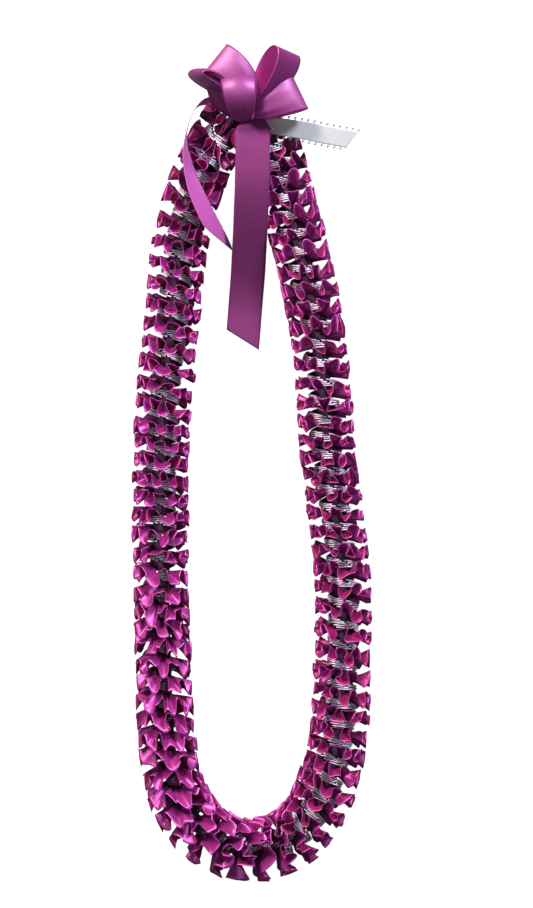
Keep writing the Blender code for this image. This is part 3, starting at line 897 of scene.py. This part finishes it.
def pleat_grid(sizes, first, last):
    """Pleats of the silver ribbon between two turns, as one folded band, with each row's depth.

    The band's radius goes evenly out to a fold and back for each pleat, and its sides droop by a parabola.
    Pleats stand in stacks of parallel folds, and the stacks follow the ruffle's helix just behind it.
    """
    stacks = np.arange(int(first * STACKS_PER_TURN), int(last * STACKS_PER_TURN))
    count = len(stacks) * FOLDS_PER_STACK
    u = np.arange(count * PLEAT_SAMPLES + 1) / PLEAT_SAMPLES
    pleat = np.minimum(u.astype(int), count - 1)
    part = u - pleat
    turn = (stacks[pleat // FOLDS_PER_STACK] + STACK_SHIFT) / STACKS_PER_TURN
    place = pleat % FOLDS_PER_STACK - (FOLDS_PER_STACK - 1) / 2
    depth = 1 - np.abs(2 * part - 1)
    frills = np.array(FRILLS)
    lean = np.interp(turn, frills[:, 0], frills[:, 3]) * MM
    lowered = COVERED_LOWERS * np.maximum(lean - COVERED_FROM, 0.0)
    outer = sizes.pleat_radius + wander("pleat_height", pleat) - lowered
    inner = sizes.pleat_radius - PLEAT_DEPTH
    radius = inner + (outer - inner) * depth
    stagger = place * PLEAT_STAGGER / sizes.pleat_radius
    theta = HELIX_HAND * (2 * np.pi * turn + stagger) + wander("pleat_angle", pleat)
    track = root_at(turn) + STACK_PLACE * (root_at(turn + 1) - root_at(turn))
    centre, tangent, side, up = STRAND.at(track + (place + part - 0.5) * PLEAT_GAP)
    outward = np.cos(theta)[:, None] * side + np.sin(theta)[:, None] * up
    around = HELIX_HAND * (np.cos(theta)[:, None] * up - np.sin(theta)[:, None] * side)
    radius = reach(centre, outward, radius, LEAST_PLEAT)
    slope = PLEAT_SLOPE + PLEAT_FAN * place + wander("pleat_slope", pleat)
    width = unit(around + slope[:, None] * tangent)
    share = np.linspace(-0.5, 0.5, PLEAT_ACROSS)[None, :]
    points = (centre + radius[:, None] * outward)[:, None, :]
    points = points + (share * sizes.silver_width)[..., None] * width[:, None, :]
    points = points - (PLEAT_DROOP * (2 * share) ** 2)[..., None] * outward[:, None, :]
    return points, (share + 0.5) * sizes.silver_width, depth


class LEI_OT_silver_pleats(bpy.types.Operator):
    """Folds the silver ribbon into stacks of pleats between the turns of the ruffle"""

    bl_idname = "lei.silver_pleats"
    bl_label = "Silver pleats"

    def execute(self, context):
        sizes = context.scene.lei_sizes
        look = finishes()["silver_pleat_satin"]
        ends = np.linspace(PLEATS_FROM, PLEATS_TO, PLEAT_PIECES + 1)
        ends = np.round(ends * STACKS_PER_TURN) / STACKS_PER_TURN
        for number, (first, last) in enumerate(zip(ends, ends[1:]), 1):
            points, across, depth = pleat_grid(sizes, first, last)
            along = distances(points[:, PLEAT_ACROSS // 2])
            mesh = surface(f"silver_pleats_{number}", points, along[:, None], across)
            layer = mesh.attributes.new("depth", "FLOAT", "POINT")
            layer.data.foreach_set("value", np.repeat(depth, PLEAT_ACROSS).astype(np.float32))
            made = piece(mesh, [look], ["silver_core"], sizes.cloth * PLEAT_CLOTH)
        return {"FINISHED"}


# Bow


def loop_grid(
    sizes, end, width, opening, widens,
    root=(0, 0, 0), sway=(0, 0, 0), gather=LOOP_GATHER, dome=0.0, flare=0.0,
):
    """One loop of the bow. An angle runs from the knot to the fold and back, and a share across the ribbon.

    The middle line is a teardrop: out by one minus the cosine, and apart by the sine of the angle times the
    sine of its half. The ribbon is gathered square to the loop at the knot, and turns and widens towards its
    fold. Small cosine folds at the knot fade as it widens, and a parabola crowns its middle.
    """
    axis = np.array(end) * MM
    length = np.linalg.norm(axis)
    ahead = axis / length
    width = np.array(width) * MM
    square = unit(width - (width @ ahead) * ahead)
    normal = unit(np.cross(ahead, width))
    angle = np.linspace(0.0, 2 * np.pi, LOOP_STEPS + 1)[:, None]
    share = np.linspace(-1.0, 1.0, LOOP_ACROSS)[None, :]
    out = (1 - np.cos(angle)) / 2
    belly = np.sin(angle) * np.sin(angle / 2) / TEARDROP_PEAK
    height = LOOP_ROOT * np.cos(angle / 2) + opening * MM / 2 * belly * (1 + flare * share)
    open_share = gather + (1 - gather) * np.sin(angle / 2) ** (2 * widens)
    crown = LOOP_CROWN * sizes.satin_width * np.sin(angle) * (1 - share**2)
    folds = LOOP_FOLD * (1 - open_share) * np.cos(LOOP_FOLD_RATE * np.pi * share)
    aim = unit((1 - out)[..., None] * square + out[..., None] * unit(width))
    across = open_share[..., None] * aim * np.linalg.norm(width) / 2
    points = KNOT + np.array(root) * MM + ((length - dome * MM * share**2) * out)[..., None] * ahead
    points = points + (height + crown + folds)[..., None] * normal
    points = points + 4 * (out * (1 - out))[..., None] * np.array(sway) * MM
    return points + share[..., None] * across, (share + 1) / 2 * sizes.satin_width


class LEI_OT_bow(bpy.types.Operator):
    """Ties the bow: its loops of satin and the knot that they leave from"""

    bl_idname = "lei.bow"
    bl_label = "Bow"

    def execute(self, context):
        sizes = context.scene.lei_sizes
        finish = finishes()
        for name, shape in BOW_LOOPS.items():
            points, across = loop_grid(sizes, **shape)
            along = distances(points[:, LOOP_ACROSS // 2])
            mesh = surface(f"bow_loop_{name}", points, along[:, None], across)
            # The loop at the back takes the painted shade face.
            face = finish["bow_satin_shade" if name == "back_left" else "bow_satin_face"]
            made = piece(mesh, [face, finish["bow_satin_back"]], ["bow"], sizes.cloth)
        # The knot takes the back's painted light colour.
        self.add_knot(sizes.satin_width, finish["bow_satin_back"])
        return {"FINISHED"}

    def add_knot(self, width, look):
        """The knot: a ball whose rings ripple in folds, by a sine of their tilt that sways round it."""
        turn = np.linspace(0.0, 2 * np.pi, KNOT_SIDES, endpoint=False)[None, :]
        tilt = np.linspace(-np.pi / 2, np.pi / 2, KNOT_RINGS)[:, None]
        folds = 1 + KNOT_FOLD * np.sin(KNOT_FOLDS * tilt + KNOT_SWAY * np.sin(turn))
        ring = np.cos(tilt) * folds
        points = np.stack([np.sin(tilt) + 0 * turn, ring * np.cos(turn), ring * np.sin(turn)], axis=-1)
        points = KNOT + points * KNOT_RADII
        mesh = surface("bow_knot", points, turn * KNOT_RADII[1], (tilt / np.pi + 0.5) * width, wrap=True)
        close_mesh(mesh)
        piece(mesh, [look], ["bow"])


# Free ends


def tail_grid(rows, cut, width):
    """A free end: its rows are splined, and each line along it stops at a share between the cut's two.

    Its middle is crowned next to the knot, by a height that fades along it.
    """
    table = spline(np.array([middle + half for middle, half in rows]), TAIL_SAMPLES) * MM
    share = np.linspace(-1.0, 1.0, TAIL_ACROSS)[None, :]
    stop = cut[0] + (cut[1] - cut[0]) * (share + 1) / 2
    at = np.linspace(0.0, 1.0, TAIL_STEPS)[:, None] * stop * (TAIL_SAMPLES - 1)
    found = read_along(table, np.arange(TAIL_SAMPLES), at)
    middle, half = found[..., :3] - ORIGIN, found[..., 3:]
    normal = unit(np.cross(half, np.gradient(middle, axis=0)))
    crown = TAIL_CROWN * np.exp(-at / TAIL_SAMPLES / TAIL_CROWN_FADES) * (1 - share**2)
    return middle + share[..., None] * half + crown[..., None] * normal, (share + 1) / 2 * width


class LEI_OT_free_ends(bpy.types.Operator):
    """Lays out the bow's two free ends and the free end of the silver ribbon with its picots"""

    bl_idname = "lei.free_ends"
    bl_label = "Free ends"

    def execute(self, context):
        sizes = context.scene.lei_sizes
        finish = finishes()
        for name, (rows, cut, look, slot, held) in FREE_ENDS.items():
            width = sizes.silver_width if name == "silver" else sizes.satin_width
            points, across = tail_grid(rows, cut, width)
            along = distances(points)
            mesh = surface(f"free_end_{name}", points, along, across)
            made = piece(mesh, [finish[look]], [f"tail_{name}"], sizes.cloth)
            if name == "silver":
                self.add_picots(points, along, sizes.picot_step, finish["silver_thread"])
        return {"FINISHED"}

    def add_picots(self, points, along, step, look):
        """The picots: small rings of thread, spaced evenly, just outside both edges of the silver ribbon.

        A ring is an ellipse of its turn, and its tube a circle of its side that grows towards the tip.
        """
        turn = np.linspace(0.0, 2 * np.pi, PICOT_STEPS, endpoint=False)[:, None]
        side = np.linspace(0.0, 2 * np.pi, PICOT_SIDES, endpoint=False)[None, :]
        tube = PICOT_THREAD + PICOT_TIP_GAINS * (1 + np.cos(turn)) / 2
        outwards = PICOT_STANDS_OUT + (PICOT_OUT + tube * np.cos(side)) * np.cos(turn)
        lengthways = (PICOT_ALONG + tube * np.cos(side)) * np.sin(turn)
        upwards = tube * np.sin(side)
        rings = []
        for column in (0, -1):
            line, far = points[:, column], along[:, column]
            stops = np.arange(PICOTS_FROM, far[-1], step)
            here = read_along(line, far, stops)
            out = -unit(read_along(points[:, TAIL_ACROSS // 2] - line, far, stops))
            ahead = unit(read_along(line, far, stops + PICOT_LOOK_AHEAD) - here)
            parts = ((outwards, out), (lengthways, ahead), (upwards, np.cross(ahead, out)))
            moved = sum(much[None, ..., None] * way[:, None, None] for much, way in parts)
            rings.append(here[:, None, None] + moved)
        rings = np.concatenate(rings)
        index = np.arange(rings[..., 0].size).reshape(rings.shape[:3])
        onward = np.roll(index, -1, axis=1)
        corners = (index, onward, np.roll(onward, -1, axis=2), np.roll(index, -1, axis=2))
        faces = np.stack(corners, axis=-1).reshape(-1, 4)
        mesh = bpy.data.meshes.new("silver_picots")
        mesh.from_pydata(rings.reshape(-1, 3).tolist(), [], faces.tolist())
        mesh.uv_layers.new(name="ribbon")
        close_mesh(mesh)
        piece(mesh, [look])


# Stage


class LEI_OT_stage(bpy.types.Operator):
    """Sets the floor, the studio light and the camera"""

    bl_idname = "lei.stage"
    bl_label = "Floor, light and camera"

    def execute(self, context):
        self.add_floor(context.scene.lei_colours)
        for name, (place, size, power, colour) in LIGHTS.items():
            self.add_light(name, place, size, power, colour)
        world = bpy.data.worlds.new("studio")
        context.scene.world = world
        world.use_nodes = True
        backdrop = world.node_tree.nodes["Background"]
        fill(world.node_tree, backdrop, {"Color": linear(BACKDROP_COLOUR), "Strength": BACKDROP_LIGHT})
        context.scene.view_settings.view_transform = "Standard"
        self.add_camera(context)
        return {"FINISHED"}

    def add_floor(self, colours):
        """A wide level floor of plain matt board. Its own glow shows it white, and lights nothing else."""
        sides = np.array([-FLOOR_HALF, FLOOR_HALF])
        corners = np.stack(np.broadcast_arrays(sides[:, None], sides[None, :], np.zeros((2, 2))), axis=-1)
        mesh = surface("floor", corners, 0.0, 0.0)
        mesh.flip_normals()
        made = place_object("floor", mesh)
        finish, tree, shader = new_finish("matt_board")
        points = add_node(tree, "ShaderNodeTexCoord").outputs["Object"]
        grain = add_node(tree, "ShaderNodeTexNoise", {"Vector": points, "Scale": FLOOR_GRAIN})
        bump = add_node(tree, "ShaderNodeBump", {"Height": grain.outputs["Fac"], "Strength": 0.02})
        fill(tree, shader, {
            "Base Color": colours.floor_board[:],
            "Normal": bump.outputs[0],
            "Roughness": 0.8,
            "Emission Color": colours.floor[:],
            "Emission Strength": FLOOR_GLOW,
        })
        mesh.materials.append(finish)
        lit = bpy.data.collections.new("lit_by_floor")
        lit.objects.link(made)
        made.light_linking.receiver_collection = lit

    def add_light(self, name, place, size, power, colour):
        """A square soft box that faces the lei."""
        light = bpy.data.lights.new(name, "AREA")
        light.shape = "SQUARE"
        light.size = size
        light.energy = power
        light.color = linear(colour)[:3]
        made = place_object(name, light)
        made.location = place
        made.rotation_euler = Vector(place).to_track_quat("Z", "Y").to_euler()

    def add_camera(self, context):
        """A long lens that looks straight down, with the photograph's scale and middle."""
        data = bpy.data.cameras.new("camera")
        data.sensor_width = SENSOR
        data.lens = SENSOR * (CAMERA_HEIGHT - FOCUS_HEIGHT) / (max(PHOTO_SIZE) * PIXEL)
        made = place_object("camera", data)
        made.location = (*PHOTO_MIDDLE, CAMERA_HEIGHT)
        context.scene.camera = made


class LEI_PT_panel(bpy.types.Panel):
    """The lei's sizes, colours and steps"""

    bl_idname = "LEI_PT_panel"
    bl_label = "Satin Ribbon Lei"
    bl_space_type = "VIEW_3D"
    bl_region_type = "UI"
    bl_category = "Lei"

    def draw(self, context):
        for group in (context.scene.lei_sizes, context.scene.lei_colours):
            box = self.layout.box()
            for name in group.bl_rna.properties.keys():
                if name not in ("rna_type", "name"):
                    box.prop(group, name)
        for step in STEPS:
            self.layout.operator(step.bl_idname)


STEPS = (
    LEI_OT_gathered_edge,
    LEI_OT_ruffle,
    LEI_OT_silver_pleats,
    LEI_OT_bow,
    LEI_OT_free_ends,
    LEI_OT_stage,
)
CLASSES = (LeiSizes, LeiColours, *STEPS, LEI_PT_panel)


def register():
    for made in CLASSES:
        bpy.utils.register_class(made)
    bpy.types.Scene.lei_sizes = bpy.props.PointerProperty(type=LeiSizes)
    bpy.types.Scene.lei_colours = bpy.props.PointerProperty(type=LeiColours)


def unregister():
    del bpy.types.Scene.lei_colours
    del bpy.types.Scene.lei_sizes
    for made in reversed(CLASSES):
        bpy.utils.unregister_class(made)


def main():
    register()
    bpy.ops.lei.gathered_edge()
    bpy.ops.lei.ruffle()
    bpy.ops.lei.silver_pleats()
    bpy.ops.lei.bow()
    bpy.ops.lei.free_ends()
    bpy.ops.lei.stage()


if __name__ == "__main__":
    main()
